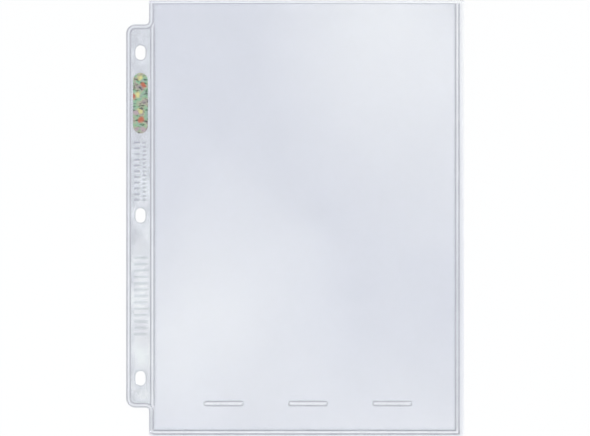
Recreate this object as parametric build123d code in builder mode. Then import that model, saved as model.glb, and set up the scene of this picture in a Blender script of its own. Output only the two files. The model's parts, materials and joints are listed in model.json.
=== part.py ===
from build123d import *
import os

# A clear top-loading sheet protector for a ring binder, empty, lying on its back film.
# X runs across the page from the binding strip, Y up the page to the open mouth, Z out of the front film.
# The origin is on the underside, in the middle of the page. All sizes are in millimetres.

# Films
FILM = 0.12               # thickness of one film
POCKET_GAP = 0.20         # space between the two films where a weld holds them
MOUTH_LIP = 1.9           # the back film stands this far above the front film's top edge
MOUTH_BOW = 3.0           # rise of the front film in the middle of the mouth
FRONT_CLEARANCE = 0.05    # between the front film's edge and the weld round it

# Double-bead welds
BEAD_WIDTH = 0.9
BEAD_RISE = 0.14          # height of a bead's crown above the front film
VALLEY_WIDTH = 1.35       # flat between the two beads
VALLEY_THICKNESS = 0.20   # film fused between the two beads
FLANGE_WIDTH = 2.8        # film left outside the bottom weld and the right weld
FLANGE_THICKNESS = 0.24

# Pocket
POCKET_WIDTH = 199.1      # clear width from the spine weld to the right weld
POCKET_CORNER = 0.45      # inside radius of the weld at the pocket's bottom corners
PAGE_CORNER = 3.0         # radius of the page's bottom left corner

# Binding strip
STRIP_WIDTH = 12.6        # clear width from the rim weld to the spine weld
STRIP_CORNER = 2.85       # inside radius of the rim weld at the strip's outer corners
NOTCH_TOP = 15.85         # the strip stops this far below the top of the page
NOTCH_BOTTOM = 20.75      # and this far above the bottom of the page
NOTCH_RADIUS = 2.5        # inner corner where the strip's end meets the pocket's left edge
POCKET_OVERHANG = 2.2     # the pocket's left edge lies this far outside the fold line
SPINE_SETBACK = 1.35      # the spine weld's inner bead stops this far inside the strip's ends
FOLD_GAP = 0.30           # slit that parts the strip from the pocket along the fold line

# Ring holes
HOLE_COUNT = 3
HOLE_PITCH = 107.95
HOLE_WIDTH = 6.8
HOLE_LENGTH = 9.8
HOLE_TO_TOP = 18.7        # top hole's centre to the top end of the strip
HOLE_TO_BOTTOM = 19.5     # bottom hole's centre to the bottom end of the strip

# Foil seal
SEAL_MARGIN = 1.4         # bare film on each side of the seal
SEAL_LENGTH = 40.0
SEAL_THICKNESS = 0.06
SEAL_DROP = 33.55         # seal's centre below the top ring hole's centre

# Stop welds
STOP_NAMES = ["stop_weld_left", "stop_weld_middle", "stop_weld_right"]
STOP_LENGTH = 26.6
STOP_WIDTH = 3.8
STOP_PITCH = 55.9
STOP_RISE = 23.4          # centre line above the bottom of the page
STOP_SHIFT = 2.1          # middle stop weld to the right of the pocket's middle
BOW_START = 3.0           # the front film stays flat to this far above the stop welds

# Levels
FRONT_Z = FILM + POCKET_GAP
FRONT_TOP = FRONT_Z + FILM
BEAD_TOP = FRONT_TOP + BEAD_RISE
TALL = BEAD_TOP + MOUTH_BOW

# Layout across the page
WELD_WIDTH = 2 * BEAD_WIDTH + VALLEY_WIDTH
BEAD_OFFSET = (VALLEY_WIDTH + BEAD_WIDTH) / 2
PAGE_WIDTH = STRIP_WIDTH + POCKET_WIDTH + 3 * WELD_WIDTH + FLANGE_WIDTH
PAGE_LEFT = -PAGE_WIDTH / 2
PAGE_RIGHT = PAGE_WIDTH / 2
STRIP_INNER = PAGE_LEFT + WELD_WIDTH
STRIP_MIDDLE = STRIP_INNER + STRIP_WIDTH / 2
FOLD_X = STRIP_INNER + STRIP_WIDTH + WELD_WIDTH / 2
POCKET_EDGE = FOLD_X - POCKET_OVERHANG
POCKET_INNER = FOLD_X + WELD_WIDTH / 2
SEAM_RIGHT = PAGE_RIGHT - FLANGE_WIDTH
FILM_LEFT = POCKET_EDGE + WELD_WIDTH
FILM_RIGHT = SEAM_RIGHT - WELD_WIDTH

# Layout up the page
HOLE_SPAN = (HOLE_COUNT - 1) * HOLE_PITCH
STRIP_HEIGHT = HOLE_TO_BOTTOM + HOLE_SPAN + HOLE_TO_TOP
PAGE_HEIGHT = NOTCH_BOTTOM + STRIP_HEIGHT + NOTCH_TOP
PAGE_TOP = PAGE_HEIGHT / 2
PAGE_BOTTOM = -PAGE_HEIGHT / 2
MOUTH_Y = PAGE_TOP - MOUTH_LIP
SEAM_BOTTOM = PAGE_BOTTOM + FLANGE_WIDTH
STRIP_TOP = PAGE_TOP - NOTCH_TOP
STRIP_BOTTOM = PAGE_BOTTOM + NOTCH_BOTTOM
STRIP_CENTRE = (STRIP_TOP + STRIP_BOTTOM) / 2
HOLE_MIDDLE = STRIP_TOP - HOLE_TO_TOP - HOLE_SPAN / 2
SEAL_Y = STRIP_TOP - HOLE_TO_TOP - SEAL_DROP
STOP_Y = PAGE_BOTTOM + STOP_RISE
BOW_Y = STOP_Y + STOP_WIDTH / 2 + BOW_START
STOP_MIDDLE = (POCKET_INNER + FILM_RIGHT) / 2 + STOP_SHIFT


def seam_line(inset):
    """Draw the perimeter seam, open at the mouth, this far inside its outer edge."""
    left = POCKET_EDGE + inset
    right = SEAM_RIGHT - inset
    bottom = SEAM_BOTTOM + inset
    strip_left = PAGE_LEFT + inset
    strip_top = STRIP_TOP - inset
    strip_bottom = STRIP_BOTTOM + inset
    notch = NOTCH_RADIUS + inset
    strip_corner = STRIP_CORNER + WELD_WIDTH - inset
    pocket_corner = POCKET_CORNER + WELD_WIDTH - inset
    return FilletPolyline(
        (left, MOUTH_Y),
        (left, strip_top),
        (strip_left, strip_top),
        (strip_left, strip_bottom),
        (left, strip_bottom),
        (left, bottom),
        (right, bottom),
        (right, MOUTH_Y),
        radius=[notch, strip_corner, strip_corner, notch, pocket_corner, pocket_corner],
    )


def seam_area(inset):
    """The area inside the perimeter seam, closed straight across the mouth."""
    with BuildSketch(Plane.XY) as area:
        with BuildLine():
            seam = seam_line(inset)
            Line(seam @ 1, seam @ 0)
        make_face()
    return area.sketch


def bead(centre):
    """The section of one bead: straight flanks up to the front film, then a rounded crown."""
    left = centre - BEAD_WIDTH / 2
    right = centre + BEAD_WIDTH / 2
    with BuildSketch(Plane.XY) as section:
        with BuildLine():
            Polyline((left, FRONT_TOP), (left, 0), (right, 0), (right, FRONT_TOP))
            ThreePointArc((right, FRONT_TOP), (centre, BEAD_TOP), (left, FRONT_TOP))
        make_face()
    return section.sketch


def valley(start, end):
    """The section of the fused film between two beads."""
    with BuildSketch(Plane.XY) as section:
        with Locations(((start + end) / 2, VALLEY_THICKNESS / 2)):
            Rectangle(end - start, VALLEY_THICKNESS)
    return section.sketch


def strip_side(grow):
    """Everything on the strip's side of the fold line, cut off at 45 degrees through each notch."""
    notch_x = POCKET_EDGE - NOTCH_RADIUS
    reach = FOLD_X - notch_x
    outside = PAGE_LEFT - STRIP_WIDTH
    notch_top = STRIP_TOP + NOTCH_RADIUS
    notch_bottom = STRIP_BOTTOM - NOTCH_RADIUS
    with BuildSketch(Plane.XY) as area:
        with BuildLine():
            Polyline(
                (outside, notch_top),
                (notch_x, notch_top),
                (FOLD_X, notch_top - reach),
                (FOLD_X, notch_bottom + reach),
                (notch_x, notch_bottom),
                (outside, notch_bottom),
                close=True,
            )
        make_face()
        offset(amount=grow, kind=Kind.INTERSECTION)
    return area.sketch


def pocket_area(clearance):
    """The pocket's clear area, this far inside the spine weld and the perimeter seam."""
    with BuildSketch(Plane.XY) as area:
        add(seam_area(WELD_WIDTH + clearance))
        add(strip_side(FOLD_GAP / 2 + clearance), mode=Mode.SUBTRACT)
        with Locations(((FOLD_X + POCKET_INNER + clearance) / 2, STRIP_CENTRE)):
            Rectangle(
                POCKET_INNER + clearance - FOLD_X,
                STRIP_HEIGHT - 2 * SPINE_SETBACK + 2 * clearance,
                mode=Mode.SUBTRACT,
            )
    return area.sketch


def strip_area():
    """One strip film's area, with its ring holes."""
    with BuildSketch(Plane.XY) as area:
        add(seam_area(WELD_WIDTH))
        add(strip_side(-FOLD_GAP / 2), mode=Mode.INTERSECT)
        with Locations((FOLD_X, STRIP_CENTRE)):
            Rectangle(WELD_WIDTH, STRIP_HEIGHT, mode=Mode.SUBTRACT)
        with Locations((STRIP_MIDDLE, HOLE_MIDDLE)):
            with GridLocations(0, HOLE_PITCH, 1, HOLE_COUNT):
                SlotOverall(HOLE_LENGTH, HOLE_WIDTH, rotation=90, mode=Mode.SUBTRACT)
    return area.sketch


def stop_outlines(grow):
    """The outlines of the stop welds, each one grown by this much all round."""
    with BuildSketch(Plane.XY) as outlines:
        with Locations((STOP_MIDDLE, STOP_Y)):
            with GridLocations(STOP_PITCH, 0, len(STOP_NAMES), 1):
                SlotOverall(STOP_LENGTH + 2 * grow, STOP_WIDTH + 2 * grow)
    return outlines.sketch


def start_plane(path):
    """The plane square to the start of a path that lies flat, with its Y axis pointing up."""
    heading = path % 0
    return Plane(path @ 0, x_dir=Vector(0, 0, 1).cross(heading), z_dir=heading)


def film_section(rise):
    """The front film's section, held at both edges and risen by this much in the middle."""
    middle = (FILM_LEFT + FILM_RIGHT) / 2
    with BuildSketch(Plane.XY) as section:
        with BuildLine():
            ThreePointArc((FILM_LEFT, FRONT_Z), (middle, FRONT_Z + rise), (FILM_RIGHT, FRONT_Z))
            Line((FILM_RIGHT, FRONT_Z), (FILM_RIGHT, FRONT_TOP))
            ThreePointArc((FILM_RIGHT, FRONT_TOP), (middle, FRONT_TOP + rise), (FILM_LEFT, FRONT_TOP))
            Line((FILM_LEFT, FRONT_TOP), (FILM_LEFT, FRONT_Z))
        make_face()
    return section.sketch


def save(part, name):
    """Label a finished piece and write it to its own file."""
    part.label = name
    export_step(part, f"parts/{name}.step")


os.makedirs("parts", exist_ok=True)

# Everything on the strip's side of the fold line, without the slit and with it
with BuildPart() as strip_room:
    with BuildSketch():
        add(strip_side(-FOLD_GAP / 2))
    extrude(amount=TALL)

with BuildPart() as strip_room_and_slit:
    with BuildSketch():
        add(strip_side(FOLD_GAP / 2))
    extrude(amount=TALL)

# Perimeter seam, swept in one run and parted into its pieces below
with BuildPart() as perimeter_seam:
    with BuildLine() as seam_path:
        seam_line(WELD_WIDTH / 2)
    with BuildSketch(start_plane(seam_path.line)):
        add(bead(-BEAD_OFFSET))
        add(bead(BEAD_OFFSET))
        add(valley(-BEAD_OFFSET, BEAD_OFFSET))
    sweep()

# Strip: rim weld
with BuildPart() as strip_rim_weld:
    add(perimeter_seam.part)
    add(strip_room.part, mode=Mode.INTERSECT)
save(strip_rim_weld.part, "strip_rim_weld")

# Pocket: the rest of the perimeter seam, with the film flange outside its bottom and right runs
with BuildPart() as pocket_seam:
    add(perimeter_seam.part)
    add(strip_room_and_slit.part, mode=Mode.SUBTRACT)
    with BuildSketch():
        with Locations(((POCKET_EDGE + PAGE_RIGHT) / 2, (PAGE_BOTTOM + MOUTH_Y) / 2)):
            Rectangle(PAGE_RIGHT - POCKET_EDGE, MOUTH_Y - PAGE_BOTTOM)
        fillet(vertices().group_by(Axis.Y)[0].sort_by(Axis.X)[0], radius=PAGE_CORNER)
        add(seam_area(0), mode=Mode.SUBTRACT)
    extrude(amount=FLANGE_THICKNESS)

seam_runs = pocket_seam.part.solids().sort_by(Axis.Y)
left_mitre = Plane((POCKET_EDGE, SEAM_BOTTOM, 0), z_dir=(1, -1, 0))
right_mitre = Plane((SEAM_RIGHT, SEAM_BOTTOM, 0), z_dir=(1, 1, 0))

with BuildPart() as upper_left_weld:
    add(seam_runs[-1])
save(upper_left_weld.part, "upper_left_weld")

with BuildPart() as lower_left_weld:
    add(seam_runs[0])
    split(bisect_by=left_mitre, keep=Keep.BOTTOM)
    split(bisect_by=right_mitre, keep=Keep.BOTTOM)
save(lower_left_weld.part, "lower_left_weld")

with BuildPart() as bottom_weld:
    add(seam_runs[0])
    split(bisect_by=left_mitre, keep=Keep.TOP)
    split(bisect_by=right_mitre, keep=Keep.BOTTOM)
save(bottom_weld.part, "bottom_weld")

with BuildPart() as right_weld:
    add(seam_runs[0])
    split(bisect_by=right_mitre, keep=Keep.TOP)
save(right_weld.part, "right_weld")

# Spine weld, one bead on each side of the fold line
with BuildPart() as inner_room:
    with BuildSketch():
        add(seam_area(WELD_WIDTH))
    extrude(amount=TALL)

with BuildPart() as spine_strip_bead:
    with BuildSketch(Plane.XZ.offset(-STRIP_TOP)):
        add(bead(FOLD_X - BEAD_OFFSET))
        add(valley(FOLD_X - BEAD_OFFSET, FOLD_X - FOLD_GAP / 2))
    extrude(amount=STRIP_HEIGHT)
    add(inner_room.part, mode=Mode.INTERSECT)
    add(strip_room.part, mode=Mode.INTERSECT)
save(spine_strip_bead.part, "spine_strip_bead")

with BuildPart() as spine_pocket_bead:
    with BuildSketch(Plane.XZ.offset(SPINE_SETBACK - STRIP_TOP)):
        add(bead(FOLD_X + BEAD_OFFSET))
        add(valley(FOLD_X + FOLD_GAP / 2, FOLD_X + BEAD_OFFSET))
    extrude(amount=STRIP_HEIGHT - 2 * SPINE_SETBACK)
    add(inner_room.part, mode=Mode.INTERSECT)
save(spine_pocket_bead.part, "spine_pocket_bead")

# Pocket: back film, with the lip that stands above the mouth across the whole width
with BuildPart() as back_film:
    with BuildSketch():
        add(pocket_area(0))
        with Locations(((POCKET_EDGE + PAGE_RIGHT) / 2, (MOUTH_Y + PAGE_TOP) / 2)):
            Rectangle(PAGE_RIGHT - POCKET_EDGE, MOUTH_LIP)
        add(stop_outlines(0), mode=Mode.SUBTRACT)
    extrude(amount=FILM)
save(back_film.part, "back_film")

# Pocket: stop welds, each one bead round a fused middle
stop_faces = stop_outlines(0).faces().sort_by(Axis.X)
for stop_name, stop_face in zip(STOP_NAMES, stop_faces):
    with BuildPart() as stop_weld:
        add(stop_face)
        extrude(amount=VALLEY_THICKNESS)
        with BuildLine() as bead_path:
            add(offset(stop_face, amount=-BEAD_WIDTH / 2, mode=Mode.PRIVATE).edges())
        with BuildSketch(start_plane(bead_path.line)):
            add(bead(0))
        sweep()
    save(stop_weld.part, stop_name)

# Front film: flat round the stop welds, then bowed up towards the mouth
with BuildPart() as front_film:
    with BuildSketch(Plane.XZ.offset(-BOW_Y)):
        with Locations(((FILM_LEFT + FILM_RIGHT) / 2, FRONT_Z + FILM / 2)):
            Rectangle(FILM_RIGHT - FILM_LEFT, FILM)
    with BuildSketch(Plane.XZ.offset(-MOUTH_Y)):
        add(film_section(MOUTH_BOW))
    loft(ruled=True)
    with BuildSketch(Plane.XY.offset(FRONT_Z)):
        with Locations(((FILM_LEFT + FILM_RIGHT) / 2, (PAGE_BOTTOM + BOW_Y) / 2)):
            Rectangle(FILM_RIGHT - FILM_LEFT, BOW_Y - PAGE_BOTTOM)
    extrude(amount=FILM)
    with BuildSketch():
        add(pocket_area(FRONT_CLEARANCE))
        add(stop_outlines(FRONT_CLEARANCE), mode=Mode.SUBTRACT)
    extrude(amount=TALL, mode=Mode.INTERSECT)
save(front_film.part, "front_film")

# Strip: two films and the foil seal on the front one
with BuildPart() as strip_back_film:
    with BuildSketch():
        add(strip_area())
    extrude(amount=FILM)
save(strip_back_film.part, "strip_back_film")

with BuildPart() as strip_front_film:
    with BuildSketch(Plane.XY.offset(FRONT_Z)):
        add(strip_area())
    extrude(amount=FILM)
save(strip_front_film.part, "strip_front_film")

with BuildPart() as foil_seal:
    with BuildSketch(Plane.XY.offset(FRONT_TOP)):
        with Locations((STRIP_MIDDLE, SEAL_Y)):
            SlotOverall(SEAL_LENGTH, STRIP_WIDTH - 2 * SEAL_MARGIN, rotation=90)
    extrude(amount=SEAL_THICKNESS)
save(foil_seal.part, "foil_seal")
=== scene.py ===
import json
import math

import bmesh
import bpy
from mathutils import Matrix, Vector, noise
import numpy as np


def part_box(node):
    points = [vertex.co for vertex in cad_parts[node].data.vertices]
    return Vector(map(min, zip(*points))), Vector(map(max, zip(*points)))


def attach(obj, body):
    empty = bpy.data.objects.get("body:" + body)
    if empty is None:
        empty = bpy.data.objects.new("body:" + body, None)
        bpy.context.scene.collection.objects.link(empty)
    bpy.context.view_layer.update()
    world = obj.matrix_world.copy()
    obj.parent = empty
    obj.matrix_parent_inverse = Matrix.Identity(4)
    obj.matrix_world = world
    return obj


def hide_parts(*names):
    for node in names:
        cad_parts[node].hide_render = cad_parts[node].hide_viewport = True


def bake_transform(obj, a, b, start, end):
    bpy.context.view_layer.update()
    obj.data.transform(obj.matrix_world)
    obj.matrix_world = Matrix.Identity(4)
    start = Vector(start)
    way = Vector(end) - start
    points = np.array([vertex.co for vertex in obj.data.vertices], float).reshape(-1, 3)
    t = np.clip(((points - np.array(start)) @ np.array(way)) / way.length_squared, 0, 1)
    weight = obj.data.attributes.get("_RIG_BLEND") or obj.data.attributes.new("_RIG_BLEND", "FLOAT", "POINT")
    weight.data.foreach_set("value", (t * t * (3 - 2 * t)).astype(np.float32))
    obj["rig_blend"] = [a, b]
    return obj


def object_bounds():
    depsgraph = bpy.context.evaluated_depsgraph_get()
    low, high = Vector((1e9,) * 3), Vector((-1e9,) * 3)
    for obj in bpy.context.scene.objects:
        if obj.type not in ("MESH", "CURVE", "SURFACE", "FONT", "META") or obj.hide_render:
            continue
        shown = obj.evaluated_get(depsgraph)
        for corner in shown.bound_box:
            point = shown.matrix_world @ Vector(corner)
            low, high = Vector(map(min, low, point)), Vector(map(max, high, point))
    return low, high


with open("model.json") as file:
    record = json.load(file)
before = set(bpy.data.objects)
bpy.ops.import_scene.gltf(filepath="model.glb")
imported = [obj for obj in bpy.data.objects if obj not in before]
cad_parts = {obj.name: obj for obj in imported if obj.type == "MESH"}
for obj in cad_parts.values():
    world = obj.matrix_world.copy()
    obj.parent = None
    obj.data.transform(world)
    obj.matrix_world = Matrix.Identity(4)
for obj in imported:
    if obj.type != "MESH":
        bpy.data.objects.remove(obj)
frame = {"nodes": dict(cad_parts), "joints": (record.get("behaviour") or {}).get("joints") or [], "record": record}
cad_low, cad_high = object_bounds()

# A clear top-loading sheet protector, empty, lying on its back film. Lengths are in metres.
# X runs across the page from the binding strip, Y up the page to the open mouth, Z out of the front film.
MM = 0.001
UP = Vector((0, 0, 1))
UP_PAGE = Vector((0, 1, 0))
DOWN_PAGE = Vector((0, -1, 0))
TO_RIGHT = Vector((1, 0, 0))

# Welds
BEAD_WIDTH = 0.9 * MM
VALLEY_WIDTH = 1.35 * MM
VALLEY_THICKNESS = 0.20 * MM
CROWN_ROUND = 0.34 * MM
CROWN_SEGMENTS = 5
WELD_WIDTH = 2 * BEAD_WIDTH + VALLEY_WIDTH
FLANGE_WIDTH = 2.8 * MM
FLANGE_THICKNESS = 0.24 * MM
NOTCH_RADIUS = 2.5 * MM
STRIP_CORNER = 2.85 * MM
POCKET_CORNER = 0.45 * MM
PAGE_CORNER = 3.0 * MM
LIGHT_PRESS_SHADE = 0.78              # painted shade of an outer bead that is pressed lightly
HARD_PRESS_SHADE = 1.3                # painted shade of the beads along the page's foot, which are pressed hard
VALLEY_CLEARING = 3             # power that clears the valley's shade along the page's foot
FOOT_FADE = 4.0 * MM            # from the seam's right corner to where the hard press ends
STOP_END_SHADE = 0.75           # painted shade of a stop weld's bead round its ends
GREY_VALLEY = 0.45              # painted shade greying the valley beside the lower left edge
VALLEY_SHADE = 0.4              # darkness of a valley at the foot of its beads
WEB_SHADE = 0.6                 # darkness of a stop weld's web at the foot of its bead
WEB_FADE = 0.75 * MM
SPINE_SETBACK = 1.35 * MM       # the spine weld's valley stops this far inside the strip's ends
SPINE_SLOPE = 0.5 * MM          # length of the slope at each end of the spine weld's pocket bead
STOP_NODES = ("stop_weld_left", "stop_weld_middle", "stop_weld_right")
NOTCH_CREASE = 0.48             # the seam twists this share of the notch's radius each way, in X and in Y
FOLD_BEND = 0.4                 # the spine weld bends this share of its valley to each side of the fold
BEND_LINES = (-0.6, -0.35, -0.12, 0.12, 0.35, 0.6)      # sections of that bend, in halves of the valley
SHELL_GAP = 0.005 * MM          # between two shells that touch, so that their faces don't coincide
TURN_STEP = 7.5                 # degrees between two sections of a weld that goes round a bend
MITRE = "mitre"                 # a sharp square turn to the left in a weld's route
MERGE_DISTANCE = 0.001 * MM
CREASE_ANGLE = math.radians(40)

# Films
FILM = 0.12 * MM
FILM_CLEARANCE = 0.05 * MM
BOW_START = 3.0 * MM            # the front film stays flat to this far above the stop welds
BOW_CURVE = 1.3                 # power of the bow's rise towards the mouth
FRONT_SLICE = 5.0 * MM
STRIP_SLICE = 0.45 * MM
RIPPLE = 0.35 * MM
RIPPLE_SIZE = 70 * MM
RIPPLE_ONSET = 3                # the ripples grow to full height over the bow's length divided by this
RIPPLE_LOSS = 0.6               # share of the ripples that is lost towards the mouth
CRUMPLE = 0.10 * MM
CRUMPLE_SIZE = 11 * MM
CRUMPLE_FADE = 2.0 * MM
CUT_EDGE = 0.6 * MM             # width of the painted shade line along a cut edge
CUT_FADE = 0.2 * MM
CUT_RISE = 0.04 * MM
CUT_DARKNESS = 0.12             # painted shade of the ridge along the back film's cut edge
WELD_SHADE = 0.5                # darkness of the front film beside a weld
WELD_SHADE_WIDTH = 1.4 * MM
FLANGE_SHADE = 0.5              # darkness of the flange beside a weld
END_SHADE = 0.16                # darkness of the strip at its bottom end
END_SHADE_REACH = 35 * MM

# Ring holes
HOLE_COUNT = 3
HOLE_WIDTH = 6.8 * MM
HOLE_LENGTH = 9.8 * MM
LIP_WIDTH = 0.6 * MM
LIP_RISE = 0.05 * MM
LIP_ROUND = 0.02 * MM
LIP_DARK = 0.5                  # painted shade of a lip at the hole
LIP_PALE = 0.15                 # and at the film

# Rows of plain ribs pressed into the strip
RIB_RISE = 0.07 * MM
RIB_SOFTNESS = 0.5 * MM
RIB_ROWS = [
    dict(foot=-76.0 * MM, count=13, pitch=4.2 * MM, aside=0.3 * MM, length=8.0 * MM, depth=0.45),
    dict(foot=13.0 * MM, count=11, pitch=3.8 * MM, aside=-2.3 * MM, length=3.6 * MM, depth=1.0),
    dict(foot=13.0 * MM, count=15, pitch=2.7 * MM, aside=2.6 * MM, length=1.9 * MM, depth=0.9),
]
RIB_WIDTH = 0.9 * MM

# Finishes. A noise stays between NOISE_LOW and NOISE_HIGH nearly everywhere. Scales are per metre.
NOISE_LOW = 0.35
NOISE_HIGH = 0.65
DRIFT_DETAIL = 3.0
GRAIN_DETAIL = 2.0
PLASTIC_IOR = 1.49
MIX_FIRST = 6                   # colour sockets of a mix node
MIX_SECOND = 7
MIX_RESULT = 2

PAGE_TINTS = [(NOISE_LOW, (0.799, 0.812, 0.851)), (NOISE_HIGH, (0.817, 0.830, 0.867))]
PAGE_PATCH = 120 * MM           # size over which the tint drifts
PAGE_GRAIN_DEPTH = 0.008 * MM
# The strip's tint mottles over small patches: haze, and painted shade of its crumples
STRIP_TINTS = [(NOISE_LOW, (0.765, 0.776, 0.811)), (NOISE_HIGH, (0.840, 0.860, 0.881))]
STRIP_PATCH = 14 * MM
STRIP_GRAIN_DEPTH = 0.05 * MM
GRAINS_PER_PATCH = 2.5
# Tint multiplied in where a film gets painted shade
PAINTED_SHADE_TINT = (0.72, 0.74, 0.78)
FILM_SHADOW = (0.965, 0.97, 0.98)
FILM_ROUGHNESS = (0.05, 0.11)

# The lightest tint is the clear valley; the darker ones are painted shade for the beads' crowns
WELD_TINTS = [(0.04, (0.76, 0.775, 0.82)), (0.74, (0.45, 0.47, 0.52)), (0.97, (0.29, 0.31, 0.36))]
BEAD_PLACE = 0.75               # place on those tints of a bead of darkness 1
WELD_SMEAR = 90.0               # scale of the smears
WELD_UNEVEN = 0.045
WELD_GRAIN_DEPTH = 0.01 * MM
WELD_SHADOW = (0.93, 0.94, 0.96)
WELD_ROUGHNESS = (0.06, 0.12)

FOIL_DRIFT = 210.0              # scale of the drifts
FOIL_FIELD = [
    (0.36, (0.30, 0.27, 0.29)),
    (0.43, (0.38, 0.37, 0.31)),
    (0.49, (0.32, 0.41, 0.28)),
    (0.56, (0.23, 0.43, 0.29)),
    (0.64, (0.28, 0.37, 0.32)),
]
FOIL_STREAKS = 330.0            # scale of the streaks
FOIL_STREAK_SQUEEZE = 2.2       # streaks are this many times longer across the page than up it
FOIL_STREAK_START = 0.54        # noise at which a streak starts
FOIL_STREAK_FULL = 0.66         # and at which it is darkest
FOIL_STREAK_TINT = (0.16, 0.20, 0.20)
FOIL_SPOTS = 175.0              # scale of the spots' cells
FOIL_SPOT_COLOURS = [(0.0, (0.60, 0.57, 0.27)), (0.45, (0.45, 0.13, 0.08)), (0.75, (0.40, 0.32, 0.36))]
FOIL_SPOT_RIM = 0.44            # distance from its middle at which a spot ends, in cells
FOIL_SPOT_HEART = 0.18          # and within which it is full
FOIL_SPOTLESS = 0.5             # share of the cells that have no spot
FOIL_STIR = 4.0 * MM            # how far the drifts push the spots about
FOIL_ROUGHNESS = (0.22, 0.40)
FOIL_RELIEF = 0.03 * MM
FOIL_RELIEF_SHARE = 0.5
FOIL_METAL = 0.25

# Studio. Each lamp points at the page.
FLOOR_SIZE = 12.0
FLOOR_DROP = 0.3 * MM
FLOOR_COLOUR = (0.96, 0.96, 0.97)
FLOOR_SHARE = 0.3               # how much of the floor isn't see-through
FLOOR_REACH = 1.6               # the floor is gone this far from the page's middle
FLOOR_FADE = 0.6                # share of that reach over which it fades out
AMBIENT_COLOUR = (0.96, 0.98, 1.0)
AMBIENT_LEVEL = 0.62
HALF_BOUNCE = 0.5               # light with fewer diffuse bounces than this has had none
MIDDLE_GLOW = 3.8               # keeps a softbox's whole light the same as that of an even one
LAMP_WHITE = (1.0, 1.0, 1.0)
CARD_WHITE = (1.0, 0.96, 0.70)
LAMPS = [
    dict(name="left_softbox", place=(-1.03, -0.79, 2.25), size=0.9, power=17.5, colour=LAMP_WHITE),
    dict(name="right_softbox", place=(0.97, 0.61, 1.98), size=0.8, power=9.6, colour=LAMP_WHITE),
    dict(name="left_sheen_card", place=(-0.18, -0.2, 2.4), size=0.58, power=0.38, colour=CARD_WHITE),
    dict(name="upper_sheen_card", place=(0.31, 0.35, 2.4), size=1.0, power=1.3, colour=CARD_WHITE),
    dict(name="foot_sheen_card", place=(0.24, -0.68, 2.4), size=1.05, power=1.8, colour=CARD_WHITE),
]

# Camera straight above the page, with the photograph's framing
PIXEL = 0.6633 * MM             # on the page
FRAME_WIDTH = 590 * PIXEL
CAMERA_LENS = 135
SENSOR = 36
CAMERA_X = -0.05 * MM
CAMERA_Y = 1.11 * MM

# Places read from the frame
strip_low, strip_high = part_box("strip_front_film")
front_low, front_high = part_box("front_film")
back_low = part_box("back_film")[0]
spine_low, spine_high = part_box("spine_pocket_bead")
middle_stop_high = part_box("stop_weld_middle")[1]
joint_places = {joint["name"]: Vector(joint["pos_m"]) for joint in frame["joints"]}
mounts = {mount["name"]: mount for mount in frame["record"]["mounts"]}

PAGE_LEFT = cad_low.x
PAGE_RIGHT = cad_high.x
PAGE_BOTTOM = cad_low.y
PAGE_TOP = cad_high.y
MOUTH_Y = front_high.y
POCKET_EDGE = back_low.x
SEAM_RIGHT = PAGE_RIGHT - FLANGE_WIDTH
SEAM_BOTTOM = PAGE_BOTTOM + FLANGE_WIDTH
STRIP_TOP = spine_high.y + SPINE_SETBACK
STRIP_BOTTOM = spine_low.y - SPINE_SETBACK
STRIP_INNER_TOP = STRIP_TOP - WELD_WIDTH
STRIP_INNER_BOTTOM = STRIP_BOTTOM + WELD_WIDTH
STRIP_MIDDLE = (strip_low.x + strip_high.x) / 2
HOLE_PITCH = mounts["ring_holes_upper"]["dims"]["spacing_y_mm"] * MM
HOLE_MIDDLE = (mounts["ring_holes_upper"]["pos_m"][1] + mounts["ring_holes_lower"]["pos_m"][1]) / 2
FOLD_X = joint_places["strip_fold"].x
BEAD_TOP = middle_stop_high.z
CUTTER_HEIGHT = 4 * BEAD_TOP
FRONT_TOP = strip_high.z
BOW_Y = middle_stop_high.y + BOW_START
MOUTH_BOW = front_high.z - FRONT_TOP
FILM_LEFT = front_low.x
FILM_RIGHT = front_high.x

NOTCH_X = POCKET_EDGE - NOTCH_RADIUS
NOTCH_TOP = Vector((NOTCH_X, STRIP_TOP + NOTCH_RADIUS, 0))
NOTCH_BOTTOM = Vector((NOTCH_X, STRIP_BOTTOM - NOTCH_RADIUS, 0))
NOTCH_TURN = NOTCH_RADIUS + WELD_WIDTH / 2
STRIP_TURN = STRIP_CORNER + WELD_WIDTH / 2
POCKET_TURN = POCKET_CORNER + WELD_WIDTH / 2

SHEET_LEFT = POCKET_EDGE + WELD_WIDTH + FILM_CLEARANCE
SHEET_RIGHT = SEAM_RIGHT - WELD_WIDTH - FILM_CLEARANCE
SHEET_BOTTOM = SEAM_BOTTOM + WELD_WIDTH + FILM_CLEARANCE
SPINE_EDGE = FOLD_X + WELD_WIDTH / 2 + FILM_CLEARANCE
SPINE_TOP = STRIP_TOP - SPINE_SETBACK
SPINE_BOTTOM = STRIP_BOTTOM + SPINE_SETBACK


# Materials

def shader_node(tree, kind, inputs=None, **settings):
    """Add a shader node; an input is given a value, or linked where it is another node's output."""
    made = tree.nodes.new("ShaderNode" + kind)
    for name, value in settings.items():
        setattr(made, name, value)
    for name, value in (inputs or {}).items():
        if isinstance(value, bpy.types.NodeSocket):
            tree.links.new(value, made.inputs[name])
        else:
            made.inputs[name].default_value = value
    return made


def new_material(name):
    """An empty node material."""
    material = bpy.data.materials.new(name)
    material.use_nodes = True
    material.node_tree.nodes.clear()
    return material, material.node_tree


def colour_ramp(tree, factor, stops, interpolation="LINEAR"):
    """A colour ramp through (place, colour) stops."""
    ramp = shader_node(tree, "ValToRGB", {"Fac": factor})
    ramp.color_ramp.interpolation = interpolation
    elements = ramp.color_ramp.elements
    while len(elements) < len(stops):
        elements.new(1.0)
    for element, (place, colour) in zip(elements, stops):
        element.position = place
        element.color = (*colour, 1.0)
    return ramp.outputs["Color"]


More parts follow.
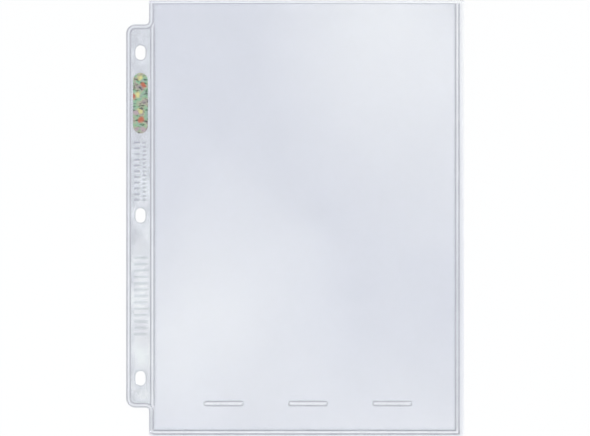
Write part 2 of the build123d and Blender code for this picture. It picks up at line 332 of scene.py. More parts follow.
def darkened(tree, factor, colour, by):
    """A colour multiplied by another one, as far as a factor says."""
    mix = shader_node(
        tree,
        "Mix",
        {"Factor": factor, MIX_FIRST: colour, MIX_SECOND: (*by, 1.0)},
        data_type="RGBA",
        blend_type="MULTIPLY",
    )
    return mix.outputs[MIX_RESULT]


def clear_plastic(tree, tint, roughness, bump, shadow_tint):
    """Finish a material as clear plastic that lets the lamps through to what lies under it."""
    plastic = shader_node(
        tree,
        "BsdfPrincipled",
        {
            "Base Color": tint,
            "Roughness": roughness,
            "Normal": bump,
            "IOR": PLASTIC_IOR,
            "Transmission Weight": 1.0,
        },
    )
    let_through = shader_node(tree, "BsdfTransparent", {"Color": (*shadow_tint, 1.0)})
    light_path = shader_node(tree, "LightPath")
    mixed = shader_node(tree, "MixShader", {"Fac": light_path.outputs["Is Shadow Ray"]})
    tree.links.new(plastic.outputs["BSDF"], mixed.inputs[1])
    tree.links.new(let_through.outputs["BSDF"], mixed.inputs[2])
    shader_node(tree, "OutputMaterial", {"Surface": mixed.outputs["Shader"]})


def ranged(tree, factor, low, high):
    """Spread a noise's middle range over low to high."""
    spread = shader_node(
        tree,
        "MapRange",
        {"Value": factor, "From Min": NOISE_LOW, "From Max": NOISE_HIGH, "To Min": low, "To Max": high},
    )
    return spread.outputs["Result"]


def film_finish(name, tints, patch, grain_depth):
    """Clear film whose tint drifts over patches of this size, greyed with painted shade along cut edges, beside
    welds, on pressed ribs and towards the strip's end.
    """
    material, tree = new_material(name)
    place = shader_node(tree, "TexCoord").outputs["Object"]
    shade_weight = shader_node(tree, "Attribute", attribute_name="shade_weight").outputs["Fac"]
    patches = shader_node(tree, "TexNoise", {"Vector": place, "Scale": 1 / patch, "Detail": DRIFT_DETAIL})
    grain = shader_node(
        tree,
        "TexNoise",
        {"Vector": place, "Scale": GRAINS_PER_PATCH / patch, "Detail": GRAIN_DETAIL},
    )
    drift = colour_ramp(tree, patches.outputs["Fac"], tints)
    tint = darkened(tree, shade_weight, drift, PAINTED_SHADE_TINT)
    roughness = ranged(tree, grain.outputs["Fac"], *FILM_ROUGHNESS)
    bump = shader_node(
        tree,
        "Bump",
        {"Height": grain.outputs["Fac"], "Strength": 1.0, "Distance": grain_depth},
    )
    clear_plastic(tree, tint, roughness, bump.outputs["Normal"], FILM_SHADOW)
    return material


def weld_finish():
    """Fused plastic: clear in the valley, with painted shade on a bead where its crown would bend the light away.
    """
    material, tree = new_material("clear_weld")
    place = shader_node(tree, "TexCoord").outputs["Object"]
    bead = shader_node(tree, "Attribute", attribute_name="bead").outputs["Fac"]
    smear = shader_node(tree, "TexNoise", {"Vector": place, "Scale": WELD_SMEAR, "Detail": GRAIN_DETAIL})
    uneven = ranged(tree, smear.outputs["Fac"], -WELD_UNEVEN, WELD_UNEVEN)
    depth = shader_node(tree, "Math", {0: bead, 1: BEAD_PLACE, 2: uneven}, operation="MULTIPLY_ADD")
    tint = colour_ramp(tree, depth.outputs["Value"], WELD_TINTS)
    roughness = ranged(tree, smear.outputs["Fac"], *WELD_ROUGHNESS)
    bump = shader_node(
        tree,
        "Bump",
        {"Height": smear.outputs["Fac"], "Strength": 1.0, "Distance": WELD_GRAIN_DEPTH},
    )
    clear_plastic(tree, tint, roughness, bump.outputs["Normal"], WELD_SHADOW)
    return material


def foil_finish():
    """Holographic foil: soft drifts of sage green, beige and mauve, dark streaks and coloured spots."""
    material, tree = new_material("holographic_foil")
    place = shader_node(tree, "TexCoord").outputs["Object"]
    drift = shader_node(tree, "TexNoise", {"Vector": place, "Scale": FOIL_DRIFT, "Detail": DRIFT_DETAIL})
    field = colour_ramp(tree, drift.outputs["Fac"], FOIL_FIELD)

    squeezed = shader_node(tree, "Mapping", {"Vector": place, "Scale": (1.0, FOIL_STREAK_SQUEEZE, 1.0)})
    streaks = shader_node(
        tree,
        "TexNoise",
        {"Vector": squeezed.outputs["Vector"], "Scale": FOIL_STREAKS, "Detail": GRAIN_DETAIL},
    )
    streak = shader_node(
        tree,
        "MapRange",
        {"Value": streaks.outputs["Fac"], "From Min": FOIL_STREAK_START, "From Max": FOIL_STREAK_FULL},
    )
    streaked = darkened(tree, streak.outputs["Result"], field, FOIL_STREAK_TINT)

    stirred = shader_node(
        tree,
        "VectorMath",
        {0: drift.outputs["Color"], 1: (FOIL_STIR, FOIL_STIR, 0.0), 2: place},
        operation="MULTIPLY_ADD",
    )
    spots = shader_node(
        tree,
        "TexVoronoi",
        {"Vector": stirred.outputs["Vector"], "Scale": FOIL_SPOTS},
        voronoi_dimensions="2D",
    )
    draw = shader_node(tree, "SeparateColor", {"Color": spots.outputs["Color"]})
    near = shader_node(
        tree,
        "MapRange",
        {"Value": spots.outputs["Distance"], "From Min": FOIL_SPOT_RIM, "From Max": FOIL_SPOT_HEART},
    )
    chosen = shader_node(
        tree,
        "Math",
        {0: draw.outputs["Green"], 1: FOIL_SPOTLESS},
        operation="GREATER_THAN",
    )
    weight = shader_node(
        tree,
        "Math",
        {0: near.outputs["Result"], 1: chosen.outputs["Value"]},
        operation="MULTIPLY",
    )
    spot_colour = colour_ramp(tree, draw.outputs["Red"], FOIL_SPOT_COLOURS, "CONSTANT")
    mixed = shader_node(
        tree,
        "Mix",
        {"Factor": weight.outputs["Value"], MIX_FIRST: streaked, MIX_SECOND: spot_colour},
        data_type="RGBA",
    )

    roughness = ranged(tree, drift.outputs["Fac"], *FOIL_ROUGHNESS)
    bump = shader_node(
        tree,
        "Bump",
        {"Height": streaks.outputs["Fac"], "Strength": FOIL_RELIEF_SHARE, "Distance": FOIL_RELIEF},
    )
    foil = shader_node(
        tree,
        "BsdfPrincipled",
        {
            "Base Color": mixed.outputs[MIX_RESULT],
            "Metallic": FOIL_METAL,
            "Roughness": roughness,
            "Normal": bump.outputs["Normal"],
        },
    )
    shader_node(tree, "OutputMaterial", {"Surface": foil.outputs["BSDF"]})
    return material


clear_film = film_finish("clear_film", PAGE_TINTS, PAGE_PATCH, PAGE_GRAIN_DEPTH)
strip_film = film_finish("strip_film", STRIP_TINTS, STRIP_PATCH, STRIP_GRAIN_DEPTH)
clear_weld = weld_finish()
holographic_foil = foil_finish()


# Shaping tools

def verts_of(geometry):
    """The vertices in a mixed list of mesh parts."""
    return [part for part in geometry if isinstance(part, bmesh.types.BMVert)]


def carry(bm, geometry, point, heading, moves):
    """Carry a section or a pen point along a route. A move is the length of a straight run, a MITRE, or a
    turn as (radius, degrees), to the left where the degrees are positive."""
    for move in moves:
        if move == MITRE:
            aside = heading.cross(UP)
            for vert in verts_of(geometry):
                vert.co += heading * aside.dot(vert.co - point)
            heading = UP.cross(heading)
            continue
        if isinstance(move, tuple):
            radius, degrees = move
            angle = math.radians(degrees)
            turning = Matrix.Rotation(angle, 3, "Z")
            to_centre = UP.cross(heading) * math.copysign(radius, degrees)
            steps = max(1, math.ceil(abs(degrees) / TURN_STEP))
            spun = bmesh.ops.spin(
                bm, geom=geometry, cent=point + to_centre, axis=UP, angle=angle, steps=steps
            )
            point = point + to_centre - turning @ to_centre
            heading = turning @ heading
        else:
            run = heading * move
            spun = bmesh.ops.spin(bm, geom=geometry, cent=point, axis=UP, dvec=run, angle=0, steps=1)
            point = point + run
            for vert in verts_of(spun["geom_last"]):
                vert.co += heading * heading.dot(point - vert.co)
        geometry = spun["geom_last"]


def close_mesh(bm):
    """Merge doubles, fill the open ends and turn every face outwards."""
    bmesh.ops.remove_doubles(bm, verts=bm.verts[:], dist=MERGE_DISTANCE)
    open_edges = [edge for edge in bm.edges if edge.is_boundary]
    bmesh.ops.holes_fill(bm, edges=open_edges, sides=0)
    bmesh.ops.recalc_face_normals(bm, faces=bm.faces[:])


def make_piece(bm, name, material):
    """Make an object of a finished bmesh, smooth between its sharp edges."""
    for face in bm.faces:
        face.smooth = True
    for edge in bm.edges:
        edge.smooth = edge.calc_face_angle(0) < CREASE_ANGLE
    mesh = bpy.data.meshes.new(name)
    bm.to_mesh(mesh)
    bm.free()
    mesh.materials.append(material)
    piece = bpy.data.objects.new(name, mesh)
    bpy.context.scene.collection.objects.link(piece)
    return piece


def draw_outline(bm, point, heading, moves):
    """Draw a closed flat outline and fill it."""
    pen = bm.verts.new(point)
    carry(bm, [pen], point, heading, moves)
    bmesh.ops.remove_doubles(bm, verts=bm.verts[:], dist=MERGE_DISTANCE)
    bmesh.ops.edgeloop_fill(bm, edges=bm.edges[:])


def thicken(bm, thickness):
    """Give flat faces a thickness upwards."""
    grown = bmesh.ops.extrude_face_region(bm, geom=bm.faces[:])
    bmesh.ops.translate(bm, verts=verts_of(grown["geom"]), vec=UP * thickness)
    bmesh.ops.recalc_face_normals(bm, faces=bm.faces[:])


def slice_at(bm, place, heading, clear_behind=False):
    """Slice a mesh along a plane square to a heading."""
    everything = bm.verts[:] + bm.edges[:] + bm.faces[:]
    bmesh.ops.bisect_plane(bm, geom=everything, plane_co=place, plane_no=heading, clear_inner=clear_behind)


def slice_up(bm, spacing):
    """Slice a flat outline into a net of faces, so that it can bow and ripple."""
    for heading, places in (
        (TO_RIGHT, [vert.co.x for vert in bm.verts]),
        (UP_PAGE, [vert.co.y for vert in bm.verts]),
    ):
        start = min(places)
        count = round((max(places) - start) / spacing)
        for index in range(1, count):
            slice_at(bm, heading * (start + (max(places) - start) * index / count), heading)


def add_shell(bm, shell):
    """Add a finished shell to another mesh."""
    mesh = bpy.data.meshes.new("shell")
    shell.to_mesh(mesh)
    shell.free()
    bm.from_mesh(mesh)
    bpy.data.meshes.remove(mesh)


def note_painted_shade(piece, shade_weights):
    """Note on each vertex how much painted shade the film gets there."""
    shade_weight = piece.data.attributes.new("shade_weight", "FLOAT", "POINT")
    shade_weight.data.foreach_set("value", shade_weights)


def obround_route(length, width):
    """The moves once round an obround, from the start of one of its straight sides."""
    side = length - width
    return [side, (width / 2, 180), side, (width / 2, 180)]


def obround_cutter(low, high, clearance):
    """A block shaped as an obround along the longer side of a box, and a clearance larger all round."""
    low = low - Vector((clearance, clearance, 0))
    high = high + Vector((clearance, clearance, 0))
    size = high - low
    bm = bmesh.new()
    if size.x > size.y:
        start = Vector((low.x + size.y / 2, low.y, 0))
        draw_outline(bm, start, TO_RIGHT, obround_route(size.x, size.y))
    else:
        start = Vector((high.x, low.y + size.x / 2, 0))
        draw_outline(bm, start, UP_PAGE, obround_route(size.y, size.x))
    bmesh.ops.translate(bm, verts=bm.verts[:], vec=UP * -BEAD_TOP)
    thicken(bm, CUTTER_HEIGHT)
    mesh = bpy.data.meshes.new("cutter")
    bm.to_mesh(mesh)
    bm.free()
    cutter = bpy.data.objects.new("cutter", mesh)
    bpy.context.scene.collection.objects.link(cutter)
    return cutter


def punch(piece, cutter):
    """Cut a shape out of a piece."""
    cut = piece.modifiers.new("punch", "BOOLEAN")
    cut.operation = "DIFFERENCE"
    cut.solver = "EXACT"
    cut.object = cutter
    depsgraph = bpy.context.evaluated_depsgraph_get()
    piece.data = bpy.data.meshes.new_from_object(piece.evaluated_get(depsgraph))
    piece.modifiers.clear()
    bpy.data.objects.remove(cutter)


# Welds

def weld_section(bm, corners, rounding, closed):
    """A section across a weld, from its (across, height, bead) corners. Those above the film are rounded.
    A section that isn't closed has no side from its last corner to its first."""
    # Each corner's bead value is its painted shade, from 0 in the clear valley to 1 on a crown
    bead = bm.verts.layers.float.get("bead") or bm.verts.layers.float.new("bead")
    drawn = []
    for across, height, darkness in corners:
        vert = bm.verts.new((across, 0, height))
        vert[bead] = darkness
        drawn.append(vert)
    bm.faces.new(drawn)
    last_side = bm.edges.get((drawn[-1], drawn[0]))
    crowns = [vert for vert in drawn if vert.co.z > FRONT_TOP]
    bmesh.ops.bevel(
        bm,
        geom=crowns,
        offset=rounding,
        segments=CROWN_SEGMENTS,
        profile=0.5,
        affect="VERTICES",
        material=-1,
    )
    bmesh.ops.delete(bm, geom=bm.faces[:], context="FACES_ONLY")
    if not closed:
        bm.edges.remove(last_side)
    return bm.verts[:] + bm.edges[:]


def double_bead():
    """Corners of a double bead: two crowns and the fused valley between them."""
    outer = WELD_WIDTH / 2
    inner = VALLEY_WIDTH / 2
    return [
        (-outer, 0, 1),
        (-inner, 0, VALLEY_SHADE),
        (0, 0, 0),
        (inner, 0, VALLEY_SHADE),
        (outer, 0, 1),
        (outer, BEAD_TOP, 1),
        (inner, BEAD_TOP, 1),
        (inner, VALLEY_THICKNESS, VALLEY_SHADE),
        (0, VALLEY_THICKNESS, 0),
        (-inner, VALLEY_THICKNESS, VALLEY_SHADE),
        (-inner, BEAD_TOP, 1),
        (-outer, BEAD_TOP, 1),
    ]


def lay_weld(corners, point, heading, moves, rounding=CROWN_ROUND, closed=True):
    """Sweep a weld's section along a route and close its ends."""
    bm = bmesh.new()
    section = weld_section(bm, corners, rounding, closed)
    turning = Matrix.Rotation(math.atan2(-heading.x, heading.y), 3, "Z")
    bmesh.ops.rotate(bm, verts=bm.verts[:], cent=(0, 0, 0), matrix=turning)
    bmesh.ops.translate(bm, verts=bm.verts[:], vec=point)
    carry(bm, section, point, heading, moves)
    close_mesh(bm)
    return bm


def shade_beads_unevenly(bm):
    """Vary the beads' painted shade: lighten the seam's outer bead along the pocket's left edge, round the
    notches and along the strip's ends. Grey its valley between the lower notch and the page's foot. Along the
    foot, darken the beads and clear the valley."""
    bead = bm.verts.layers.float["bead"]
    greying_top = STRIP_BOTTOM + WELD_WIDTH / 2
    foot_middle = SEAM_BOTTOM + WELD_WIDTH / 2
    foot_start = POCKET_EDGE + WELD_WIDTH / 2 + POCKET_TURN - SHELL_GAP
    for vert in bm.verts:
        x = vert.co.x
        y = vert.co.y
        past = max(0.0, min(NOTCH_TOP.y - y, y - NOTCH_BOTTOM.y))
        if math.hypot(max(0.0, x - NOTCH_X), past) < NOTCH_TURN:
            vert[bead] *= LIGHT_PRESS_SHADE
        valley_greying = min(1.0, (greying_top - y) / NOTCH_TURN, (y - foot_middle) / POCKET_TURN)
        vert[bead] = max(vert[bead], GREY_VALLEY * valley_greying)
        if x > foot_start and y < foot_middle + WELD_WIDTH / 2 + SHELL_GAP:
            vert[bead] = HARD_PRESS_SHADE * vert[bead] ** VALLEY_CLEARING


def weld_line(name, point, heading, moves):
    """A run of the seam along a route that has the page on its left."""
    bm = lay_weld(double_bead(), point, heading, moves)
    shade_beads_unevenly(bm)
    return make_piece(bm, name, clear_weld)


def perimeter_welds():
    """The seam round the page in three runs. Two go round a notch, where they twist as the strip folds."""
    left = POCKET_EDGE + WELD_WIDTH / 2
    right = SEAM_RIGHT - WELD_WIDTH / 2
    bottom = SEAM_BOTTOM + WELD_WIDTH / 2
    middle = (left + right) / 2
    rim_left = PAGE_LEFT + WELD_WIDTH / 2
    rim_top = STRIP_TOP - WELD_WIDTH / 2 - STRIP_TURN
    rim_bottom = STRIP_BOTTOM + WELD_WIDTH / 2 + STRIP_TURN
    strip_end = NOTCH_X - rim_left - STRIP_TURN
    corner_y = bottom + POCKET_TURN
    half_foot = middle - left - POCKET_TURN
    crease = NOTCH_RADIUS * NOTCH_CREASE

    upper = weld_line(
        "upper_weld_line",
        Vector((left, MOUTH_Y, 0)),
        DOWN_PAGE,
        [
            MOUTH_Y - NOTCH_TOP.y,
            (NOTCH_TURN, -90),
            strip_end,
            (STRIP_TURN, 90),
            rim_top - HOLE_MIDDLE,
        ],
    )
    across = Vector((crease, crease, 0))
    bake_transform(upper, "pocket", "strip", start=NOTCH_TOP + across, end=NOTCH_TOP - across)
    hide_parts("upper_left_weld")

    lower = weld_line(
        "lower_weld_line",
        Vector((rim_left, HOLE_MIDDLE, 0)),
        DOWN_PAGE,
        [
            HOLE_MIDDLE - rim_bottom,
            (STRIP_TURN, 90),
            strip_end,
            (NOTCH_TURN, -90),
            NOTCH_BOTTOM.y - corner_y,
            (POCKET_TURN, 90),
            half_foot,
        ],
    )
    across = Vector((crease, -crease, 0))
    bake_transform(lower, "pocket", "strip", start=NOTCH_BOTTOM + across, end=NOTCH_BOTTOM - across)
    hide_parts("strip_rim_weld", "lower_left_weld", "bottom_weld")

    right_side = weld_line(
        "right_weld_line",
        Vector((middle, bottom, 0)),
        TO_RIGHT,
        [right - middle, MITRE, FOOT_FADE, MOUTH_Y - bottom - FOOT_FADE],
    )
    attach(right_side, "pocket")
    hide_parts("right_weld")


def film_flange():
    """The film left outside the bottom weld and the right weld, rounded at the page's left corner."""
    bm = bmesh.new()
    weld_corner = POCKET_CORNER + WELD_WIDTH
    page_run = PAGE_RIGHT - POCKET_EDGE - PAGE_CORNER
    draw_outline(
        bm,
        Vector((POCKET_EDGE + PAGE_CORNER, PAGE_BOTTOM, 0)),
        TO_RIGHT,
        [
            page_run,
            (0, 90),
            MOUTH_Y - PAGE_BOTTOM,
            (0, 90),
            FLANGE_WIDTH,
            (0, 90),
            MOUTH_Y - SEAM_BOTTOM,
            (0, -90),
            SEAM_RIGHT - POCKET_EDGE - weld_corner,
            (weld_corner, -90),
            (0, 180),
            weld_corner + SEAM_BOTTOM - PAGE_BOTTOM - PAGE_CORNER,
            (PAGE_CORNER, 90),
        ],
    )
    thicken(bm, FLANGE_THICKNESS)
    flange = make_piece(bm, "film_flange", clear_film)
    # Painted shade on the flange beside the weld
    shade_weights = []
    for vert in flange.data.vertices:
        at_weld = vert.co.x < SEAM_RIGHT + SHELL_GAP and vert.co.y > SEAM_BOTTOM - SHELL_GAP
        shade_weights.append(FLANGE_SHADE if at_weld else 0.0)
    note_painted_shade(flange, shade_weights)
    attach(flange, "pocket")


def spine_weld():
    """The double bead between strip and pocket. Its valley bends where the strip folds. The bead on the
    strip's side is cut off along the seam, and the bead on the pocket's side slopes down at its ends."""
    ends = [SPINE_SLOPE, SPINE_SLOPE]       # the second run keeps the slope out of the long run's shading
    route = ends + [SPINE_TOP - SPINE_BOTTOM - 2 * sum(ends)] + ends
    bm = lay_weld(double_bead(), Vector((FOLD_X, SPINE_BOTTOM, 0)), UP_PAGE, route)
    for vert in bm.verts:
        at_end = min(vert.co.y - SPINE_BOTTOM, SPINE_TOP - vert.co.y) < SPINE_SLOPE / 2
        if at_end and vert.co.x > FOLD_X:
            vert.co.z = min(vert.co.z, VALLEY_THICKNESS)
    for share in BEND_LINES:
        slice_at(bm, TO_RIGHT * (FOLD_X + share * VALLEY_WIDTH / 2), TO_RIGHT)

    bead_x = FOLD_X - (VALLEY_WIDTH + BEAD_WIDTH) / 2
    reach = NOTCH_RADIUS + WELD_WIDTH
    bead_turn = math.acos((bead_x - NOTCH_X) / reach)
    for notch, side in ((NOTCH_TOP, -1), (NOTCH_BOTTOM, 1)):
        out = Vector((math.cos(bead_turn), side * math.sin(bead_turn), 0))
        slice_at(bm, notch + out * (reach + SHELL_GAP), out, clear_behind=True)
    close_mesh(bm)

    spine = make_piece(bm, "spine_weld_line", clear_weld)
    bend = VALLEY_WIDTH * FOLD_BEND
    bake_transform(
        spine,
        "pocket",
        "strip",
        start=(FOLD_X + bend, HOLE_MIDDLE, 0),
        end=(FOLD_X - bend, HOLE_MIDDLE, 0),
    )
    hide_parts("spine_strip_bead", "spine_pocket_bead")


def stop_welds():
    """Short welds near the bottom: one bead round a fused middle."""
    for node in STOP_NODES:
        low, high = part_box(node)
        length = high.x - low.x
        width = high.y - low.y
        web_edge = -BEAD_WIDTH - WEB_FADE
        bead_and_web = [
            (web_edge, 0, 0),
            (0, 0, 1),
            (0, BEAD_TOP, 1),
            (-BEAD_WIDTH, BEAD_TOP, 1),
            (-BEAD_WIDTH, VALLEY_THICKNESS, WEB_SHADE),
            (web_edge, VALLEY_THICKNESS, 0),
        ]
        start = Vector((low.x + width / 2, low.y, 0))
        bm = lay_weld(bead_and_web, start, TO_RIGHT, obround_route(length, width), closed=False)
        bead = bm.verts.layers.float["bead"]
        # The bead's painted shade grows lighter round the ends
        for vert in bm.verts:
            past = max(0.0, abs(vert.co.x - (low.x + high.x) / 2) - (length - width) / 2) / (width / 2)
            vert[bead] *= 1 - (1 - STOP_END_SHADE) * past
        stop = make_piece(bm, node + "_line", clear_weld)
        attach(stop, "pocket")
        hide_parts(node)


# Films

def ripple(place, size):
    """A smooth random height from about -1 to 1."""
    return noise.noise(place / size)


def front_film_rise(place):
    """How far the front film stands up: nothing at the welds, most in the middle of the mouth."""
    middle = (FILM_LEFT + FILM_RIGHT) / 2
    half = (FILM_RIGHT - FILM_LEFT) / 2
    across = max(0.0, 1 - ((place.x - middle) / half) ** 2)
    along = min(1.0, max(0.0, (place.y - BOW_Y) / (MOUTH_Y - BOW_Y)))
    flat_place = Vector((place.x, place.y, 0))
    wave = RIPPLE * ripple(flat_place, RIPPLE_SIZE)
    ripples = wave * min(1.0, RIPPLE_ONSET * along) * (1 - RIPPLE_LOSS * along)
    return across * (MOUTH_BOW * along ** BOW_CURVE + ripples)


def front_film_shade(place):
    """How much painted shade the front film gets: most along its cut edge, some beside the welds."""
    if place.y > MOUTH_Y - CUT_EDGE - CUT_FADE / 2:
        return 1.0
    edge = SPINE_EDGE if SPINE_BOTTOM < place.y < SPINE_TOP else SHEET_LEFT
    distance = min(place.x - edge, SHEET_RIGHT - place.x, place.y - SHEET_BOTTOM)
    return WELD_SHADE * min(1.0, max(0.0, 1 - distance / WELD_SHADE_WIDTH))


def front_film():
    """The pocket's front sheet, fast along three sides and bowed up towards the mouth."""
    bm = bmesh.new()
    step = SPINE_EDGE - SHEET_LEFT
    width = SHEET_RIGHT - SHEET_LEFT
    draw_outline(
        bm,
        Vector((SHEET_LEFT, MOUTH_Y, 0)),
        DOWN_PAGE,
        [
            MOUTH_Y - SPINE_TOP - FILM_CLEARANCE,
            (0, 90),
            step,
            (0, -90),
            SPINE_TOP - SPINE_BOTTOM + 2 * FILM_CLEARANCE,
            (0, -90),
            step,
            (0, 90),
            SPINE_BOTTOM - FILM_CLEARANCE - SHEET_BOTTOM,
            (0, 90),
            width,
            (0, 90),
            MOUTH_Y - SHEET_BOTTOM,
            (0, 90),
            width,
        ],
    )
    slice_up(bm, FRONT_SLICE)
    for place, heading in (
        (MOUTH_Y - CUT_EDGE, UP_PAGE),
        (MOUTH_Y - CUT_EDGE - CUT_FADE, UP_PAGE),
        (SHEET_BOTTOM + WELD_SHADE_WIDTH, UP_PAGE),
        (SHEET_LEFT + WELD_SHADE_WIDTH, TO_RIGHT),
        (SPINE_EDGE + WELD_SHADE_WIDTH, TO_RIGHT),
        (SHEET_RIGHT - WELD_SHADE_WIDTH, TO_RIGHT),
    ):
        slice_at(bm, heading * place, heading)
    bmesh.ops.translate(bm, verts=bm.verts[:], vec=UP * (FRONT_TOP - FILM))
    thicken(bm, FILM)
    sheet = make_piece(bm, "front_film_sheet", clear_film)
    for node in STOP_NODES:
        low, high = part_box(node)
        punch(sheet, obround_cutter(low, high, FILM_CLEARANCE))
    for vert in sheet.data.vertices:
        vert.co.z += front_film_rise(vert.co)
    note_painted_shade(sheet, [front_film_shade(vert.co) for vert in sheet.data.vertices])
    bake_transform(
        sheet,
        "pocket",
        "front_panel",
        start=(0, MOUTH_Y, FRONT_TOP),
        end=(0, MOUTH_Y, FRONT_TOP + MOUTH_BOW),
    )
    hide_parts("front_film")


def back_film_edge():
    """The fine ridge that the cut leaves along the back film's top edge, tinted with painted shade."""
    half = CUT_EDGE / 2
    ridge = [
        (-half, FILM + SHELL_GAP, CUT_DARKNESS),
        (half, FILM + SHELL_GAP, CUT_DARKNESS),
        (half, FILM + CUT_RISE, CUT_DARKNESS),
        (-half, FILM + CUT_RISE, CUT_DARKNESS),
    ]
    start = Vector((POCKET_EDGE, PAGE_TOP - half, 0))
    bm = lay_weld(ridge, start, TO_RIGHT, [PAGE_RIGHT - POCKET_EDGE])
    edge = make_piece(bm, "back_film_cut_edge", clear_weld)
    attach(edge, "pocket")


def ring_holes():
    """The lowest and highest corner of each ring hole."""
    half = Vector((HOLE_WIDTH / 2, HOLE_LENGTH / 2, 0))
    for index in range(HOLE_COUNT):
        y = HOLE_MIDDLE + (index - (HOLE_COUNT - 1) / 2) * HOLE_PITCH
        centre = Vector((STRIP_MIDDLE, y, 0))
        yield centre - half, centre + half


def hole_distance(place):
    """How far a place on the strip lies outside the nearest ring hole."""
    straight = (HOLE_LENGTH - HOLE_WIDTH) / 2
    distances = []
    for low, high in ring_holes():
        centre = (low + high) / 2
        past = max(0.0, abs(place.y - centre.y) - straight)
        distances.append(math.hypot(place.x - centre.x, past) - HOLE_WIDTH / 2)
    return min(distances)


def crumple(place):
    """The small dents that handling leaves in the strip, none along its welds and its ring holes."""
    edge = min(
        place.x - strip_low.x,
        strip_high.x - place.x,
        place.y - STRIP_INNER_BOTTOM,
        STRIP_INNER_TOP - place.y,
        hole_distance(place) - LIP_WIDTH,
    )
    fade = min(1.0, max(0.0, edge / CRUMPLE_FADE))
    return fade * CRUMPLE * ripple(Vector((place.x, place.y, 0)), CRUMPLE_SIZE)


def rib_relief_and_shade(place):
    """How much a rib lifts the strip at a place and greys it with painted shade: nothing between the ribs, most
    along their backs.
    """
    shade_weight = 0.0
    for row in RIB_ROWS:
        nearest = round((place.y - row["foot"]) / row["pitch"])
        nearest = min(row["count"] - 1, max(0, nearest))
        rise = place.y - row["foot"] - nearest * row["pitch"]
        aside = abs(place.x - STRIP_MIDDLE - row["aside"]) - (row["length"] - RIB_WIDTH) / 2
        distance = math.hypot(max(0.0, aside), rise) - RIB_WIDTH / 2
        shade_weight = max(shade_weight, row["depth"] * min(1.0, max(0.0, 1 - distance / RIB_SOFTNESS)))
    return shade_weight


def strip_end_shade(place):
    """The painted shade that greys the strip towards its bottom end."""
    return END_SHADE * max(0.0, 1 - (place.y - STRIP_INNER_BOTTOM) / END_SHADE_REACH)


def strip_front_film():
    """The strip's front sheet, slightly crumpled, with its ring holes and its pressed ribs."""
    bm = bmesh.new()
    inner_turn = NOTCH_RADIUS + WELD_WIDTH
    spine_left = FOLD_X - WELD_WIDTH / 2
    notch_sweep = math.degrees(math.asin((spine_left - NOTCH_X) / inner_turn))
    notch_drop = inner_turn * (1 - math.cos(math.radians(notch_sweep)))
    end_run = NOTCH_X - strip_low.x - STRIP_CORNER
    height = STRIP_INNER_TOP - STRIP_INNER_BOTTOM
    draw_outline(
        bm,
        Vector((strip_low.x, STRIP_INNER_BOTTOM + STRIP_CORNER, 0)),
        DOWN_PAGE,
        [
            (STRIP_CORNER, 90),
            end_run,
            (inner_turn, -notch_sweep),
            (0, 90 + notch_sweep),
            height + 2 * notch_drop,
            (0, 90 + notch_sweep),
            (inner_turn, -notch_sweep),
            end_run,
            (STRIP_CORNER, 90),
            height - 2 * STRIP_CORNER,
        ],
    )
    slice_up(bm, STRIP_SLICE)
    bmesh.ops.translate(bm, verts=bm.verts[:], vec=UP * (FRONT_TOP - FILM))
    thicken(bm, FILM)
    sheet = make_piece(bm, "strip_front_film_sheet", strip_film)
    for low, high in ring_holes():
        punch(sheet, obround_cutter(low, high, LIP_WIDTH + SHELL_GAP))
    # Painted shade of the ribs and of the strip's bottom end
    shade_weights = []
    for vert in sheet.data.vertices:
        rib = rib_relief_and_shade(vert.co)
        vert.co.z += crumple(vert.co) + RIB_RISE * rib
        shade_weights.append(max(rib, strip_end_shade(vert.co)))
    note_painted_shade(sheet, shade_weights)
    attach(sheet, "strip")
    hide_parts("strip_front_film")


def ring_hole_lips():
    """The low rim that the punch leaves round each ring hole, with painted shade darkest at the hole."""
    under = FRONT_TOP - FILM
    rim = [
        (0, under, LIP_DARK),
        (LIP_WIDTH, under, LIP_PALE),
        (LIP_WIDTH, FRONT_TOP, LIP_PALE),
        (LIP_WIDTH / 2, FRONT_TOP + LIP_RISE, LIP_DARK),
        (0, FRONT_TOP + LIP_RISE, LIP_DARK),
    ]
    bm = bmesh.new()
    for low, high in ring_holes():
        start = Vector((high.x, low.y + HOLE_WIDTH / 2, 0))
        route = obround_route(HOLE_LENGTH, HOLE_WIDTH)
        add_shell(bm, lay_weld(rim, start, UP_PAGE, route, rounding=LIP_ROUND))
    lips = make_piece(bm, "ring_hole_lips", clear_weld)
    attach(lips, "strip")


def cad_finishes():
    """Finishes for the solids that keep their own shape."""
    for node, material in (
        ("back_film", clear_film),
        ("strip_back_film", strip_film),
        ("foil_seal", holographic_foil),
    ):
        piece = frame["nodes"][node]
        for slot in piece.material_slots:
            slot.material = material


# Studio

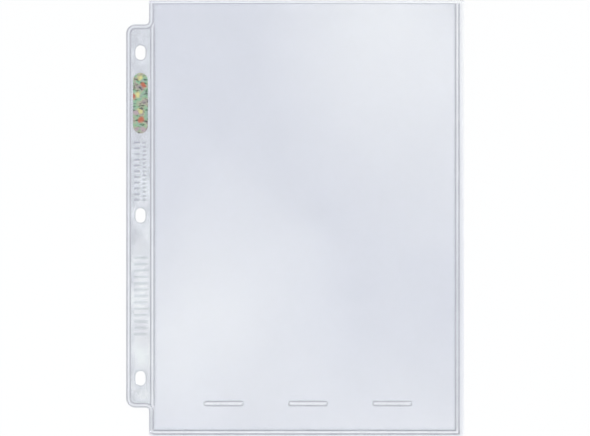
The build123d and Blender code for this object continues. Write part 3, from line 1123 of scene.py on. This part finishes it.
def floor():
    """A pale translucent table top that keeps the shadow and fades out into the white backdrop."""
    material, tree = new_material("table_top")
    place = shader_node(tree, "TexCoord").outputs["Object"]
    shrunk = shader_node(tree, "Mapping", {"Vector": place, "Scale": (1 / FLOOR_REACH,) * 3})
    fade = shader_node(tree, "TexGradient", {"Vector": shrunk.outputs["Vector"]}, gradient_type="SPHERICAL")
    share = shader_node(
        tree,
        "MapRange",
        {"Value": fade.outputs["Fac"], "From Max": FLOOR_FADE, "To Max": FLOOR_SHARE},
    )
    pale = shader_node(tree, "BsdfDiffuse", {"Color": (*FLOOR_COLOUR, 1.0)})
    see_through = shader_node(tree, "BsdfTransparent")
    mixed = shader_node(tree, "MixShader", {"Fac": share.outputs["Result"]})
    tree.links.new(see_through.outputs["BSDF"], mixed.inputs[1])
    tree.links.new(pale.outputs["BSDF"], mixed.inputs[2])
    shader_node(tree, "OutputMaterial", {"Surface": mixed.outputs["Shader"]})

    bm = bmesh.new()
    bmesh.ops.create_grid(bm, x_segments=1, y_segments=1, size=FLOOR_SIZE / 2)
    bmesh.ops.translate(bm, verts=bm.verts[:], vec=UP * (cad_low.z - FLOOR_DROP))
    mesh = bpy.data.meshes.new("table_top")
    bm.to_mesh(mesh)
    bm.free()
    mesh.materials.append(material)
    table_top = bpy.data.objects.new("table_top", mesh)
    bpy.context.scene.collection.objects.link(table_top)


def backdrop():
    """A world of plain soft light that is white to the camera, in reflections and through plastic."""
    world = bpy.data.worlds.new("white_backdrop")
    world.use_nodes = True
    tree = world.node_tree
    tree.nodes.clear()
    light_path = shader_node(tree, "LightPath")
    seen = light_path.outputs["Is Camera Ray"]
    for kind in ("Is Glossy Ray", "Is Transmission Ray"):
        either = shader_node(tree, "Math", {0: seen, 1: light_path.outputs[kind]}, operation="MAXIMUM")
        seen = either.outputs["Value"]
    direct = shader_node(
        tree,
        "Math",
        {0: light_path.outputs["Diffuse Depth"], 1: HALF_BOUNCE},
        operation="LESS_THAN",
    )
    both = shader_node(tree, "Math", {0: seen, 1: direct.outputs["Value"]}, operation="MULTIPLY")
    ambient = shader_node(
        tree,
        "Background",
        {"Color": (*AMBIENT_COLOUR, 1.0), "Strength": AMBIENT_LEVEL},
    )
    white = shader_node(tree, "Background", {"Color": (1.0, 1.0, 1.0, 1.0), "Strength": 1.0})
    mixed = shader_node(tree, "MixShader", {"Fac": both.outputs["Value"]})
    tree.links.new(ambient.outputs["Background"], mixed.inputs[1])
    tree.links.new(white.outputs["Background"], mixed.inputs[2])
    shader_node(tree, "OutputWorld", {"Surface": mixed.outputs["Shader"]})
    bpy.context.scene.world = world


def softbox(name, place, size, power, colour):
    """A square lamp that points at the page, bright in its middle and fading out to its rim."""
    data = bpy.data.lights.new(name, "AREA")
    data.size = size
    data.energy = power
    data.use_nodes = True
    tree = data.node_tree
    tree.nodes.clear()
    across = shader_node(tree, "NewGeometry").outputs["Parametric"]
    centred = shader_node(
        tree,
        "Mapping",
        {"Vector": across, "Location": (-1.0, -1.0, 0.0), "Scale": (2.0, 2.0, 0.0)},
    )
    fade = shader_node(
        tree,
        "TexGradient",
        {"Vector": centred.outputs["Vector"]},
        gradient_type="SPHERICAL",
    )
    evened = shader_node(tree, "Math", {0: fade.outputs["Fac"], 1: MIDDLE_GLOW}, operation="MULTIPLY")
    glow = shader_node(tree, "Emission", {"Color": (*colour, 1.0), "Strength": evened.outputs["Value"]})
    shader_node(tree, "OutputLight", {"Surface": glow.outputs["Emission"]})
    lamp = bpy.data.objects.new(name, data)
    lamp.location = place
    lamp.rotation_mode = "QUATERNION"
    lamp.rotation_quaternion = (-Vector(place)).to_track_quat("-Z", "Y")
    bpy.context.scene.collection.objects.link(lamp)


def camera():
    """The camera, looking straight down."""
    data = bpy.data.cameras.new("camera")
    data.sensor_width = SENSOR
    data.lens = CAMERA_LENS
    data.dof.use_dof = False
    made = bpy.data.objects.new("camera", data)
    made.location = (CAMERA_X, CAMERA_Y, CAMERA_LENS / SENSOR * FRAME_WIDTH)
    bpy.context.scene.collection.objects.link(made)
    bpy.context.scene.camera = made


perimeter_welds()
film_flange()
spine_weld()
stop_welds()
front_film()
back_film_edge()
strip_front_film()
ring_hole_lips()
cad_finishes()
floor()
backdrop()
for lamp in LAMPS:
    softbox(**lamp)
camera()
bpy.context.scene.view_settings.view_transform = "Standard"
